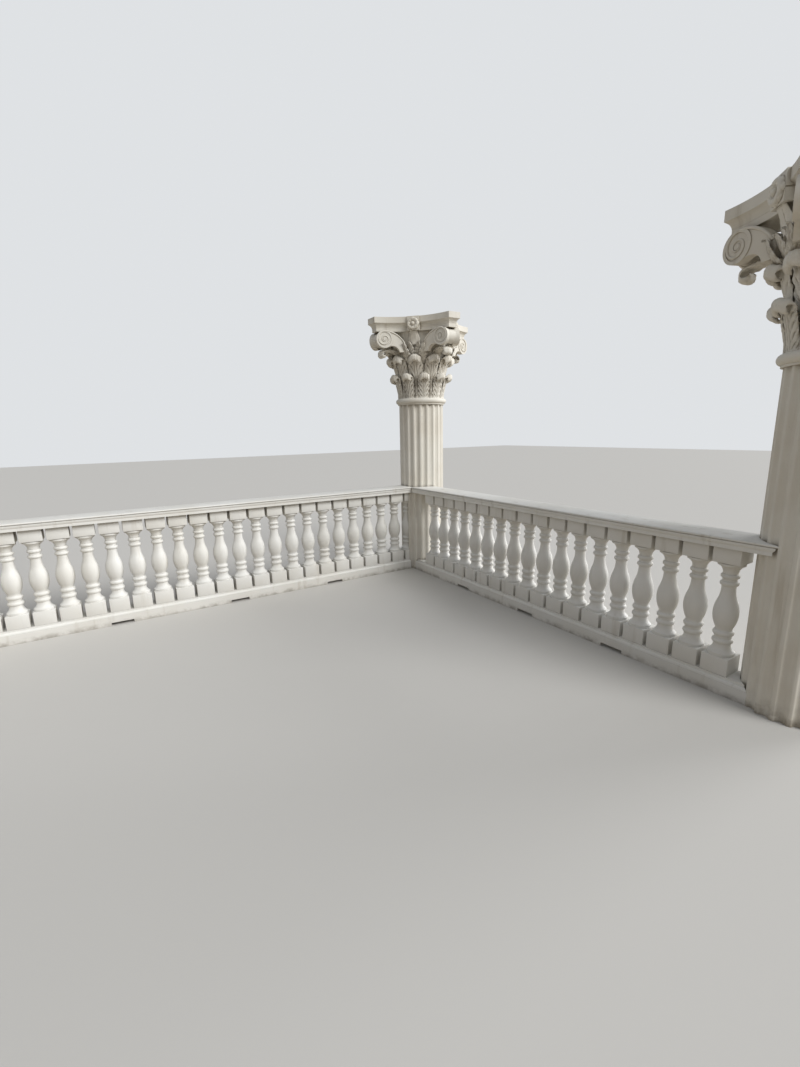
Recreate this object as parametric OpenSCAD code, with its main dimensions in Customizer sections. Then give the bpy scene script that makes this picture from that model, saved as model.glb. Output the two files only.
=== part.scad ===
// Cast stone balustrade: two runs of vase balusters that meet at a corner column.
// The origin is on the corner column's axis at its foot. The left run goes along -X,
// the right run along -Y, and +Z is up.

/* [Left run] */
// Distance from the corner column's axis to the left column's axis
left_bay = 4123; // [3500:1:5000]
// Distance from the corner column's axis to the first baluster of the left run
left_first = 198; // [150:1:240]
// Whole and part balusters in the left run
left_count = 24; // [12:1:30]
// Distance from the corner column's axis to the first scupper of the left run
left_scupper_first = 1110; // [700:1:1300]
// Spacing of the scuppers of the left run
left_scupper_pitch = 919; // [600:1:1000]

/* [Right run] */
// Distance from the corner column's axis to the right column's axis
right_bay = 3445; // [3200:1:4600]
// Distance from the corner column's axis to the right run's centre line
right_inset = 96; // [0:1:110]
// Distance from the corner column's axis to the first baluster of the right run
right_first = 374; // [300:1:420]
// Balusters in the right run
right_count = 18; // [10:1:18]
// Distance from the corner column's axis to the first scupper of the right run
right_scupper_first = 948; // [700:1:1100]
// Spacing of the scuppers of the right run
right_scupper_pitch = 781; // [500:1:850]

/* [Balusters] */
// Spacing of the balusters
pitch = 162; // [150:1:190]
// Side of the square blocks at a baluster's head and foot
block_side = 139; // [120:1:145]
// Height of a whole baluster
baluster_h = 723; // [650:1:800]
// Height of the head block
head_h = 92; // [80:1:120]
// Height of the foot block
foot_h = 101; // [80:1:120]
// Radius of the flanges next to the blocks
flange_r = 66; // [56:1:69]
// Radius of the two lower rings
lower_ring_r = 52; // [46:1:58]
// Radius of the belly
belly_r = 62; // [54:1:68]
// Height of the widest place of the belly above the foot block
belly_rise = 240; // [220:1:260]
// Radius of the neck above the belly
neck_r = 35; // [30:1:40]
// Radius of the two upper rings
upper_ring_r = 46; // [42:1:52]

/* [Rails] */
// Height of the bottom rail
base_h = 104; // [90:1:130]
// Width of the bottom rail
base_w = 178; // [160:1:200]
// Height of the bottom rail's upright face
base_face_h = 71; // [60:1:80]
// Height of the top rail
cap_h = 63; // [56:1:80]
// Width of the top rail over its rounded edges
cap_w = 240; // [224:1:260]
// Radius of the top rail's rounded edges
nose_r = 6.5; // [4:0.5:8]
// Length of a scupper
scupper_w = 158; // [100:1:200]
// Height of a scupper
scupper_h = 24; // [15:1:40]

/* [Columns] */
// Radius of a column over the lands between its flutes
column_r = 228.5; // [200:0.5:260]
// Height of a column's fluted shaft
shaft_h = 1720; // [1500:1:2200]
// Number of flutes
flutes = 20; // [16:1:24]
// Radius of a flute's hollow
flute_r = 28; // [20:1:30]
// Depth of a flute
flute_depth = 18; // [8:1:20]
// Radius of the ring under the capital
ring_r = 261; // [250:1:290]
// Height of the ring under the capital
ring_h = 63; // [40:1:80]

/* [Capitals] */
// Height of the capital's bell, from the ring to the abacus
bell_h = 614; // [560:1:680]
// Radius of the bell at its foot
bell_r = 226; // [215:1:230]
// Radius of the bell at its lip
bell_lip_r = 306; // [290:1:310]
// Height of the abacus
abacus_h = 128; // [110:1:150]
// Distance from the axis to the cut face of an abacus corner
abacus_r = 566; // [540:1:600]
// Width of the cut across an abacus corner
abacus_cut = 132; // [100:1:150]
// Distance from the axis to the middle of an abacus side
abacus_mid = 345; // [340:1:370]
// Depth of the moulding under the abacus's edge
edge_depth = 33; // [20:1:34]
// Radius of that moulding's hollow
edge_arc = 50; // [40:1:56]
// Distance from the axis to a corner scroll's eye
scroll_eye = 476; // [450:1:480]
// Distance from a scroll's eye to its corner's middle line
scroll_side = 95; // [90:1:105]
// Turn of a scroll from its corner's middle line, in degrees
scroll_turn = 20; // [14:1:24]
// Radius of a scroll
scroll_r = 80; // [70:1:84]
// Thickness of a scroll
scroll_t = 50; // [36:1:56]
// Length of the stalk that carries a scroll, from its eye to the bell
scroll_stalk = 215; // [200:1:225]
// Fall of the stalk's upper edge over that length
scroll_fall = 150; // [130:1:160]
// Depth that the abacus takes off the scrolls' round tops
scroll_cut = 9; // [4:1:14]
// Half width of the boss in the middle of an abacus side
boss_half = 85; // [70:1:100]
// Step of the boss in front of the abacus side
boss_out = 17; // [12:1:24]
// Radius of a flower on its boss
flower_r = 54; // [44:1:60]
// Height of the stalk that carries a flower
stalk_h = 114; // [90:1:130]
// Width of the stalk
stalk_w = 28; // [20:1:36]

/* [Leaves] */
// Leaves in each of the two rows
leaves = 10; // [8:1:10]
// Turn of the first lower leaf from a corner's middle line, in degrees
lower_turn = 27; // [0:1:36]
// Thickness of a leaf
leaf_t = 30; // [22:1:32]
// Reach of a lower leaf's tip from the axis
lower_tip_r = 338; // [310:1:345]
// Height of a lower leaf's tip above the bell's foot
lower_tip_z = 207; // [190:1:220]
// Radius of a lower leaf's curl
lower_curl = 36; // [28:1:40]
// Height at which a lower leaf leaves the bell
lower_free_z = 60; // [50:1:110]
// Half width of a lower leaf
lower_half = 64; // [56:1:67]
// Reach of an upper leaf's tip from the axis
upper_tip_r = 362; // [345:1:375]
// Depth of an upper leaf's tip below the bell's lip
upper_tip_down = 242; // [234:1:264]
// Radius of an upper leaf's curl
upper_curl = 40; // [30:1:42]
// Height at which an upper leaf leaves the bell
upper_free_z = 275; // [265:1:300]
// Half width of an upper leaf
upper_half = 68; // [60:1:72]
// Half width of an upper leaf's stem between two lower leaves
upper_stem = 6; // [4:1:8]
// Height at which the stem widens into the upper leaf
upper_low = 170; // [166:1:190]
// Reach of an inner leaf's tip from the axis
inner_tip_r = 346; // [330:1:352]
// Depth of an inner leaf's tip below the bell's lip
inner_tip_down = 109; // [94:1:124]
// Half width of an inner leaf
inner_half = 30; // [22:1:32]
// Reach of a corner leaf's tip from the axis
corner_tip_r = 473; // [450:1:490]
// Depth of a corner leaf's tip below the bell's lip
corner_tip_down = 187; // [182:1:194]
// Half width of a corner leaf
corner_half = 52; // [40:1:56]

/* [Hidden] */
$fn = 72;
side_names = ["corner", "left", "right"];
pieces = ["shaft", "ring", "bell", "lower_leaves", "upper_leaves", "inner_leaves", "scrolls",
    "abacus", "flowers"];
group = 6;
left_groups = ceil(left_count / group);
right_groups = ceil(right_count / group);

// Overshoot of the cutting shapes
past = 5;
// Levels
rail_z = base_h + baluster_h;
bell_z = shaft_h + ring_h;
abacus_z = bell_z + bell_h;
column_h = abacus_z + abacus_h;
scuppers = 3;
// Fineness of the large round shapes
fine = 144;
// Paint colours
white = [0.91, 0.90, 0.87];
shade = [0.84, 0.82, 0.77];

// Radius of the arc whose ends lie rise apart along it and sag apart across it,
// and which runs straight on at one end
function arc_through(rise, sag) = (rise * rise + sag * sag) / (2 * sag);

// Outline of a fluted shaft
module fluted_section() {
    difference() {
        circle(r = column_r, $fn = fine);
        for (i = [0:flutes - 1])
            rotate((i + 0.5) * 360 / flutes)
                translate([column_r - flute_depth + flute_r, 0])
                    circle(r = flute_r);
    }
}

module shaft() {
    color(shade) linear_extrude(shaft_h) fluted_section();
}

module ring() {
    bead_r = ring_h * 0.42;
    collar = 12;
    color(shade) translate([0, 0, shaft_h]) rotate_extrude($fn = fine) {
        square([ring_r - bead_r, ring_h]);
        translate([ring_r - bead_r, ring_h - bead_r]) circle(r = bead_r);
        square([column_r + collar, ring_h - bead_r]);
    }
}

// The bell's side is an arc that starts upright at its foot
bell_arc = arc_through(bell_h, bell_lip_r - bell_r);
function bell_at(z) = bell_r + bell_arc - sqrt(bell_arc * bell_arc - z * z);

// Half section of the bell, which can start lower to cut what stands on it
module bell_half(under = 0) {
    difference() {
        translate([0, -under]) square([bell_lip_r, bell_h + under]);
        translate([bell_r + bell_arc, 0]) circle(r = bell_arc, $fn = 1440);
    }
}

module bell_body() {
    rotate_extrude($fn = fine) bell_half();
}

module bell() {
    color(shade) translate([0, 0, bell_z]) bell_body();
}

// Section of a leaf that lies on the bell, leaves it above a height and curls over at its tip
module leaf_section(free_z, tip_r, tip_z, curl_r) {
    // height of the leaf's root on the bell where it springs free
    root = leaf_t * 1.3;
    polygon([
        [bell_at(0) - past, 0], [bell_at(free_z) - past, free_z + root],
        [bell_at(free_z + root) + 1, free_z + root],
        [tip_r - curl_r * 1.3, tip_z + curl_r * 0.95],
        [tip_r - curl_r, tip_z], [tip_r - curl_r * 1.2, tip_z - curl_r * 0.98],
        [bell_at(free_z) + leaf_t, free_z], [bell_at(free_z / 2) + leaf_t, free_z / 2],
        [bell_at(0) + leaf_t, 0]]);
    translate([tip_r - curl_r, tip_z]) circle(r = curl_r);
}

// Front outline of a leaf from its foot up: a stem, then the lobed blade
module leaf_outline(stem, low, half, tall) {
    edge = [[0.84, 0.05], [0.93, 0.2], [0.85, 0.27], [1, 0.45], [0.86, 0.52], [0.93, 0.7],
        [0.74, 0.77], [0.66, 0.88], [0.4, 0.97]];
    blade = tall - low;
    right_side = concat([[stem, 0], [stem, low]],
        [for (p = edge) [p[0] * half, low + p[1] * blade]]);
    polygon(concat(right_side, [[0, tall]],
        [for (i = [len(right_side) - 1:-1:0]) [-right_side[i][0], right_side[i][1]]]));
}

// A leaf's section, given as children, cut to the bell and turned about the axis
module leaf_sweep() {
    sweep = 60;
    rotate([0, 0, -sweep / 2]) rotate_extrude(angle = sweep, $fn = fine) difference() {
        children();
        bell_half(past);
    }
}

// A leaf with the section given as children, cut to its front outline
module leaf(stem, low, half, tall) {
    intersection() {
        leaf_sweep() children();
        rotate([90, 0, 90]) linear_extrude(2 * ring_r) leaf_outline(stem, low, half, tall);
    }
}

module lower_leaves() {
    foot_half = lower_half * 0.8;
    color(shade) translate([0, 0, bell_z])
        for (i = [0:leaves - 1]) rotate(lower_turn + i * 360 / leaves)
            leaf(foot_half, 1, lower_half, lower_tip_z + lower_curl + past)
                leaf_section(lower_free_z, lower_tip_r, lower_tip_z, lower_curl);
}

module upper_leaves() {
    upper_tip_z = bell_h - upper_tip_down;
    color(shade) translate([0, 0, bell_z])
        for (i = [0:leaves - 1]) rotate(lower_turn + (i + 0.5) * 360 / leaves)
            leaf(upper_stem, upper_low, upper_half, upper_tip_z + upper_curl + past)
                leaf_section(upper_free_z, upper_tip_r, upper_tip_z, upper_curl);
}

// Section of the short leaves above the upper row, which reach out from the bell
module short_section(foot_z, tip_r, tip_z, curl_r) {
    polygon([
        [bell_r, foot_z], [bell_at(foot_z) + past, foot_z], [tip_r - 2 * curl_r, tip_z - curl_r / 2],
        [tip_r - curl_r, tip_z], [tip_r - curl_r, tip_z + curl_r * 0.98],
        [tip_r - 3 * curl_r, tip_z + curl_r * 0.9], [bell_r, tip_z + curl_r * 0.9]]);
    translate([tip_r - curl_r, tip_z]) circle(r = curl_r);
}

module inner_leaves() {
    inner_curl = 18;
    inner_h = 85;
    inner_tip_z = bell_h - inner_tip_down;
    inner_foot_z = inner_tip_z - inner_h;
    inner_turn = 6.5;
    corner_curl = 35;
    corner_tip_z = bell_h - corner_tip_down;
    corner_foot_z = corner_tip_z - past;
    color(shade) translate([0, 0, bell_z]) for (i = [0:3]) {
        for (s = [-1, 1]) rotate(45 + i * 90 + s * inner_turn)
            leaf(inner_half * 0.8, inner_foot_z - past, inner_half, inner_tip_z + inner_curl + past)
                short_section(inner_foot_z, inner_tip_r, inner_tip_z, inner_curl);
        rotate(i * 90) intersection() {
            leaf_sweep() short_section(corner_foot_z, corner_tip_r, corner_tip_z, corner_curl);
            corner_leaf_plan();
        }
    }
}

// Plan of a corner leaf, round at its tip
module corner_leaf_plan() {
    tip = corner_tip_r - corner_half * 0.9;
    linear_extrude(bell_h) {
        translate([0, -corner_half * 0.7]) square([tip, corner_half * 1.4]);
        translate([tip, 0]) circle(r = corner_half);
    }
}

// Side view of a scroll with its eye at the origin. Its stalk falls in one arc from the scroll's
// top and is hollow underneath.
module scroll_outline() {
    top_arc = arc_through(scroll_stalk, scroll_fall);
    under = scroll_r * 1.45;
    hollow_r = scroll_r * 0.9;
    hollow_x = scroll_stalk * 0.36;
    circle(r = scroll_r);
    difference() {
        intersection() {
            translate([0, scroll_r - top_arc]) circle(r = top_arc, $fn = 360);
            translate([-scroll_stalk, -under]) square([scroll_stalk, under + scroll_r]);
        }
        translate([-hollow_x, -scroll_r * 0.75 - hollow_r]) circle(r = hollow_r);
        translate([-hollow_x, -under - past]) square([hollow_x + past, under - scroll_r * 0.8]);
    }
}

// Raised rim and eye on a scroll's face
module scroll_rings() {
    proud = 5;
    rotate_extrude() {
        for (band = [[0, 0.17], [0.8, 1]])
            translate([band[0] * scroll_r, -past])
                square([(band[1] - band[0]) * scroll_r, proud + past]);
    }
}

module scrolls() {
    scroll_z = bell_h - scroll_r + scroll_cut;
    web_r = scroll_r * 0.82;
    color(shade) translate([0, 0, bell_z]) difference() {
        for (i = [0:3]) rotate(i * 90) {
            for (side = [0, 1]) mirror([0, side, 0])
                translate([scroll_eye, scroll_side, scroll_z]) rotate([90, 0, -scroll_turn]) {
                    linear_extrude(scroll_t) scroll_outline();
                    mirror([0, 0, 1]) scroll_rings();
                }
            translate([scroll_eye, 0, scroll_z]) rotate([90, 0, 0])
                cylinder(h = 2 * (scroll_side - scroll_t / 2), r = web_r, center = true);
        }
        bell_body();
        translate([0, 0, bell_h]) cylinder(h = scroll_r, r = abacus_r + scroll_r);
    }
}

// Arc of an abacus side, through the ends of two corner cuts and the side's middle
side_x = (abacus_r + abacus_cut / 2) / sqrt(2);
side_y = (abacus_r - abacus_cut / 2) / sqrt(2);
side_arc = arc_through(side_y, side_x - abacus_mid);
// Front of the bosses that carry the flowers
boss_x = abacus_mid + boss_out;

// Section of what is cut away outside an upright face at x = 0, with a low fascia and the
// hollow above it
module abacus_edge(reach, hollow_r) {
    fascia_h = abacus_h * 0.27;
    ledge = 3;
    translate([0, -past]) square([reach, abacus_h + 2 * past]);
    translate([-edge_depth, -past]) square([edge_depth + past, fascia_h + past]);
    translate([hollow_r - edge_depth + ledge, fascia_h - 2 * ledge]) circle(r = hollow_r, $fn = 360);
}

module abacus_body() {
    block = 2 * (abacus_r + past);
    // the moulding across a corner is a little tighter and lower than those of the long sides
    corner_hollow = edge_arc * 0.9;
    corner_drop = 0.6;
    difference() {
        translate([-block / 2, -block / 2, 0]) cube([block, block, abacus_h]);
        for (i = [0:3]) {
            rotate(45 + i * 90) translate([abacus_mid + side_arc, 0, 0])
                rotate_extrude($fn = 360) translate([side_arc, 0]) mirror([1, 0])
                    abacus_edge(side_arc - past, edge_arc);
            rotate(i * 90) translate([abacus_r, 0, 0]) rotate([90, 0, 0])
                linear_extrude(2 * abacus_cut, center = true)
                    translate([0, -corner_drop]) abacus_edge(2 * edge_arc, corner_hollow);
        }
    }
    for (i = [0:3]) rotate(45 + i * 90)
        translate([0, -boss_half, 0]) cube([boss_x, 2 * boss_half, abacus_h]);
}

module abacus() {
    color(shade) translate([0, 0, abacus_z]) abacus_body();
}

// A flower's outline from its middle, raised along y
module flower_half() {
    rim_r = flower_r * 0.2;
    heart_r = flower_r * 0.34;
    square([flower_r - rim_r, rim_r]);
    translate([flower_r - rim_r, rim_r]) circle(r = rim_r);
    square([flower_r, rim_r]);
    intersection() {
        translate([0, rim_r]) circle(r = heart_r);
        square([heart_r, rim_r + heart_r]);
    }
}

// Side view of the stalk below a flower, from the bell out to the boss
module stalk_side() {
    top_in = 10;
    middle_in = 32;
    translate([0, bell_h - stalk_h])
        polygon([[bell_r, 0], [bell_lip_r, 0], [boss_x - middle_in, stalk_h / 2],
            [boss_x - top_in, stalk_h], [bell_r, stalk_h]]);
}

module flowers() {
    flower_z = bell_h + abacus_h * 0.46;
    color(shade) translate([0, 0, bell_z]) difference() {
        for (i = [0:3]) rotate(45 + i * 90) {
            translate([boss_x, 0, flower_z]) rotate([0, 90, 0]) rotate_extrude() flower_half();
            rotate([90, 0, 0]) linear_extrude(stalk_w, center = true) stalk_side();
        }
        bell_body();
    }
}

module column_piece(p) {
    if (p == "shaft") shaft();
    if (p == "ring") ring();
    if (p == "bell") bell();
    if (p == "lower_leaves") lower_leaves();
    if (p == "upper_leaves") upper_leaves();
    if (p == "inner_leaves") inner_leaves();
    if (p == "scrolls") scrolls();
    if (p == "abacus") abacus();
    if (p == "flowers") flowers();
}

// Where each column stands
function column_at(s) = s == "left" ? [-left_bay, 0, 0] : s == "right" ? [0, -right_bay, 0] : [0, 0, 0];

// Space taken up by the round columns, which rails and balusters stop at
module column_space() {
    for (s = side_names) translate(column_at(s)) translate([0, 0, -past])
        cylinder(h = column_h, r = column_r, $fn = fine);
}

// Half outline of a baluster's turned part, from the foot block's top
turned_h = baluster_h - head_h - foot_h;
module turned_half() {
    flange_h = 11;
    // foot: a flange and a hollow that narrows to a neck
    foot_hollow = 46;
    foot_neck = 43;
    foot_neck_z = 57;
    difference() {
        square([flange_r, foot_neck_z]);
        translate([foot_neck + foot_hollow, foot_neck_z]) circle(r = foot_hollow);
    }
    square([flange_r, flange_h]);
    // lower rings, which stack from the foot's neck up to the belly's waist
    lower_ring = 17;
    waist_r = 42;
    belly_low = 85;
    waist_z = belly_rise - belly_low;
    // their distances below the waist
    ring_falls = [75, 29];
    for (down = ring_falls)
        translate([lower_ring_r - lower_ring, waist_z - down]) circle(r = lower_ring);
    square([waist_r, waist_z]);
    // belly and neck, arcs that meet smoothly
    lower_arc = arc_through(belly_rise - waist_z, belly_r - waist_r);
    cap_part = 145;
    neck_z = turned_h - cap_part;
    rise = neck_z - belly_rise;
    arcs = arc_through(rise, belly_r - neck_r);
    upper_arc = arcs * 0.47;
    hollow_arc = arcs - upper_arc;
    meet_z = belly_rise + rise * upper_arc / arcs;
    intersection() {
        translate([belly_r - lower_arc, belly_rise]) circle(r = lower_arc, $fn = 360);
        translate([0, waist_z]) square([belly_r, belly_rise - waist_z]);
    }
    intersection() {
        translate([belly_r - upper_arc, belly_rise]) circle(r = upper_arc, $fn = 360);
        translate([0, belly_rise]) square([belly_r, meet_z - belly_rise]);
    }
    difference() {
        translate([0, meet_z]) square([belly_r, neck_z - meet_z]);
        translate([neck_r + hollow_arc, neck_z]) circle(r = hollow_arc, $fn = 360);
    }
    // upper rings
    upper_ring = 14;
    // their distances above the neck
    ring_rises = [26, 67];
    square([neck_r, turned_h]);
    for (up = ring_rises)
        translate([upper_ring_r - upper_ring, neck_z + up]) circle(r = upper_ring);
    // cap: a hollow that widens to a flange, then a quirk below the head block
    cap_hollow = 48;
    cap_neck = 37;
    quirk = 4;
    quirk_in = 5;
    cap_z = neck_z + cap_part - quirk - flange_h - cap_hollow * 0.92;
    translate([0, cap_z]) difference() {
        square([flange_r, turned_h - quirk - cap_z]);
        translate([cap_neck + cap_hollow, 0]) circle(r = cap_hollow);
    }
    translate([0, turned_h - quirk - flange_h / 2]) square([flange_r - quirk_in, quirk + flange_h / 2]);
}

module baluster() {
    translate([0, 0, base_h]) {
        linear_extrude(foot_h) square(block_side, center = true);
        translate([0, 0, foot_h]) rotate_extrude() turned_half();
        translate([0, 0, baluster_h - head_h]) linear_extrude(head_h)
            square(block_side, center = true);
    }
}

module left_balusters(g) {
    color(white) difference() {
        for (i = [g * group:min((g + 1) * group, left_count) - 1])
            translate([-left_first - i * pitch, 0, 0]) baluster();
        if (g == 0 || g == left_groups - 1) column_space();
    }
}

module right_balusters(g) {
    color(white) for (i = [g * group:min((g + 1) * group, right_count) - 1])
        translate([-right_inset, -right_first - i * pitch, 0]) baluster();
}

// Half section of the bottom rail: upright face, quirk, round and a plinth for the balusters
module bottom_half() {
    half = base_w / 2;
    quirk = 3;
    plinth_h = 12;
    plinth_set = 5;
    round_r = base_h - base_face_h - quirk - plinth_h;
    square([half, base_face_h]);
    square([half - quirk, base_face_h + quirk]);
    square([half - quirk - round_r + plinth_set, base_h]);
    intersection() {
        translate([half - quirk - round_r, base_face_h + quirk]) circle(r = round_r);
        square([half, base_h]);
    }
}

// Half section of the top rail: fillet, quarter round, band, quirk, rounded edge and crown
module top_half() {
    half = cap_w / 2;
    crown = 5;
    fillet_out = 7;
    nose_x = half - nose_r;
    nose_z = cap_h - crown - nose_r;
    quirk_h = 3;
    quirk_in = 6;
    quirk_z = nose_z - nose_r - quirk_h;
    band_h = 8;
    band_out = 0.5;
    band_x = nose_x + band_out;
    fillet_h = 8;
    round_r = 30;
    round_h = quirk_z - band_h - fillet_h;
    square([block_side / 2 + fillet_out, cap_h - crown]);
    translate([0, fillet_h]) intersection() {
        translate([band_x - round_r, round_r]) circle(r = round_r);
        square([half, round_h]);
    }
    translate([0, fillet_h]) square([band_x - round_r, round_h]);
    translate([0, quirk_z - band_h]) square([band_x, band_h]);
    square([band_x - quirk_in, nose_z]);
    translate([nose_x, nose_z]) circle(r = nose_r);
    translate([0, nose_z - nose_r]) square([nose_x, 2 * nose_r]);
    crown_arc = arc_through(nose_x, crown);
    intersection() {
        translate([0, cap_h - crown_arc]) circle(r = crown_arc, $fn = 1440);
        translate([0, nose_z]) square([nose_x, cap_h]);
    }
}

// A rail of a given length along +X from the origin, with both halves of its section
module rail(len) {
    rotate([90, 0, 90]) linear_extrude(len) {
        children();
        mirror([1, 0]) children();
    }
}

module scupper_cuts(first, step) {
    for (i = [0:scuppers - 1]) translate([first + i * step, 0, 0])
        translate([-scupper_w / 2, -base_w, -past]) cube([scupper_w, 2 * base_w, scupper_h + past]);
}

module left_place() {
    rotate(180) children();
}

module right_place() {
    translate([-right_inset, 0, 0]) rotate(-90) children();
}

module left_bottom_rail() {
    color(white) difference() {
        left_place() difference() {
            rail(left_bay) bottom_half();
            scupper_cuts(left_scupper_first, left_scupper_pitch);
        }
        column_space();
    }
}

module right_bottom_rail() {
    color(white) difference() {
        right_place() difference() {
            rail(right_bay) bottom_half();
            scupper_cuts(right_scupper_first, right_scupper_pitch);
        }
        column_space();
    }
}

module left_top_rail() {
    color(white) difference() {
        left_place() translate([0, 0, rail_z]) rail(left_bay) top_half();
        column_space();
    }
}

module right_top_rail() {
    color(white) difference() {
        right_place() translate([0, 0, rail_z]) rail(right_bay) top_half();
        column_space();
    }
}

for (s = side_names, p = pieces)
    translate(column_at(s)) column_piece(p);
left_bottom_rail();
left_top_rail();
right_bottom_rail();
right_top_rail();
for (i = [1:left_groups])
    left_balusters(i - 1);
for (i = [1:right_groups])
    right_balusters(i - 1);
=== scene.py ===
import math

import bmesh
import bpy
from mathutils import Matrix, Vector


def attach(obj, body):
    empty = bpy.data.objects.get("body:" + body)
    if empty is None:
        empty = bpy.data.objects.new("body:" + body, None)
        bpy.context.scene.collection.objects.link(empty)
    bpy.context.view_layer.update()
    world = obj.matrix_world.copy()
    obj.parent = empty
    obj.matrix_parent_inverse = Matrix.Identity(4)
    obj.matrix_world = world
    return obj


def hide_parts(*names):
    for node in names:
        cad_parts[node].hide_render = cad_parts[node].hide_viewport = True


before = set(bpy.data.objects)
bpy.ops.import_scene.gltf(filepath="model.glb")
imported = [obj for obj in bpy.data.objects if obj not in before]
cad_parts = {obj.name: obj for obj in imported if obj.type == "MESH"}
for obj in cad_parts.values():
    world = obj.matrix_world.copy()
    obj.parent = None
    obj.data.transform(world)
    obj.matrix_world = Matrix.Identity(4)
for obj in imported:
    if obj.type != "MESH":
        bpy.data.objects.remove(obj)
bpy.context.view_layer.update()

# Camera at the photograph's place, fitted from the balusters and rails
CAMERA_AT = Vector((-2.928, -4.332, 1.464))
CAMERA_YAW = 58.67
CAMERA_PITCH = -12.07
CAMERA_ROLL = -1.17
FOCAL_PX = 480.6
PHOTO_H = 1067
SENSOR = 36.0

# Sizes repeated from part.scad, in metres and degrees
COLUMNS = {"corner": (0.0, 0.0), "left": (-4.123, 0.0), "right": (0.0, -3.445)}
COLUMN_R = 0.2285
SHAFT_H = 1.720
SHAFT_FLUTES = 20
FLUTE_R = 0.028
FLUTE_DEPTH = 0.018
PITCH = 0.162
LEFT_FIRST = 0.198
LEFT_COUNT = 24
RIGHT_INSET = 0.096
RIGHT_FIRST = 0.374
RIGHT_COUNT = 18
GROUP = 6
BASE_H = 0.104
BALUSTER_H = 0.723
BLOCK_SIDE = 0.139
HEAD_H = 0.092
FOOT_H = 0.101
FLANGE_R = 0.066
LOWER_RING_R = 0.052
BELLY_R = 0.062
BELLY_RISE = 0.240
NECK_R = 0.035
UPPER_RING_R = 0.046
BELL_Z = 1.783
BELL_H = 0.614
ABACUS_H = 0.128
ABACUS_R = 0.566
ABACUS_CUT = 0.132
ABACUS_MID = 0.345
EDGE_DEPTH = 0.033
EDGE_ARC = 0.050
EDGE_LEDGE = 0.003
LEAVES = 10
LOWER_TURN = 27
SCROLL_EYE = 0.476
SCROLL_SIDE = 0.095
SCROLL_TURN = 20
SCROLL_R = 0.080
SCROLL_STALK = 0.215
SCROLL_FALL = 0.150
SCROLL_CUT = 0.009
SCROLL_Z = BELL_Z + BELL_H - SCROLL_R + SCROLL_CUT
BOSS_X = 0.362
FLOWER_Z = BELL_Z + BELL_H + ABACUS_H * 0.46

# Turns of the capital's four corners and four sides, in degrees
CORNERS = [0, 90, 180, 270]
SIDES = [45, 135, 225, 315]

# Colours of the stage, as the camera sees it and as it lights the object
FLOOR_SEEN = (0.62, 0.61, 0.59)
FLOOR_LIT = (0.36, 0.31, 0.24)
SKY_SEEN = (0.74, 0.76, 0.78)
SKY_LIT = (0.95, 0.97, 1.0)
SKY_STRENGTH = 0.33

# Side and middle of the floor, which lies just under the object's foot
FLOOR_SIDE = 60
FLOOR_AT = (-2, -2, -0.0005)


def make_camera():
    """A camera with the photograph's place, turn and focal length."""
    yaw, pitch, roll = (math.radians(a) for a in (CAMERA_YAW, CAMERA_PITCH, CAMERA_ROLL))
    ahead = Vector((math.cos(yaw) * math.cos(pitch), math.sin(yaw) * math.cos(pitch), math.sin(pitch)))
    level = Vector((math.sin(yaw), -math.cos(yaw), 0.0))
    up = level.cross(ahead)
    right = level * math.cos(roll) + up * math.sin(roll)
    up = right.cross(ahead)
    data = bpy.data.cameras.new("camera")
    data.sensor_width = SENSOR
    data.lens = FOCAL_PX / PHOTO_H * SENSOR
    camera = bpy.data.objects.new("camera", data)
    bpy.context.scene.collection.objects.link(camera)
    turn = Matrix((right, up, -ahead)).transposed()
    camera.matrix_world = Matrix.Translation(CAMERA_AT) @ turn.to_4x4()
    bpy.context.scene.camera = camera


def sun_light(name, toward, angle, strength, colour):
    """A soft sun whose light travels along a direction."""
    data = bpy.data.lights.new(name, "SUN")
    data.angle = math.radians(angle)
    data.energy = strength
    data.color = colour
    light = bpy.data.objects.new(name, data)
    bpy.context.scene.collection.objects.link(light)
    light.rotation_mode = "QUATERNION"
    light.rotation_quaternion = Vector(toward).to_track_quat("-Z", "Y")


def make_stage():
    """A pale floor and backdrop, which throw less light on the object than the camera sees in them."""
    bpy.ops.mesh.primitive_plane_add(size=FLOOR_SIDE, location=FLOOR_AT)
    floor = bpy.context.object
    floor.name = "floor"
    n = Nodes("floor")
    n.link(n.mix(n.seen(), FLOOR_LIT, FLOOR_SEEN), n.shader.inputs["Base Color"])
    n.shader.inputs["Roughness"].default_value = 0.9
    floor.data.materials.append(n.material)
    world = bpy.data.worlds.new("world")
    bpy.context.scene.world = world
    world.use_nodes = True
    tree = world.node_tree
    light = tree.nodes["Background"]
    light.inputs["Color"].default_value = (*SKY_LIT, 1)
    light.inputs["Strength"].default_value = SKY_STRENGTH
    view = tree.nodes.new("ShaderNodeBackground")
    view.inputs["Color"].default_value = (*SKY_SEEN, 1)
    both = tree.nodes.new("ShaderNodeMixShader")
    ray = tree.nodes.new("ShaderNodeLightPath")
    tree.links.new(ray.outputs["Is Camera Ray"], both.inputs[0])
    tree.links.new(light.outputs[0], both.inputs[1])
    tree.links.new(view.outputs[0], both.inputs[2])
    tree.links.new(both.outputs[0], tree.nodes["World Output"].inputs["Surface"])
    bpy.context.scene.view_settings.view_transform = "Standard"


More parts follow.
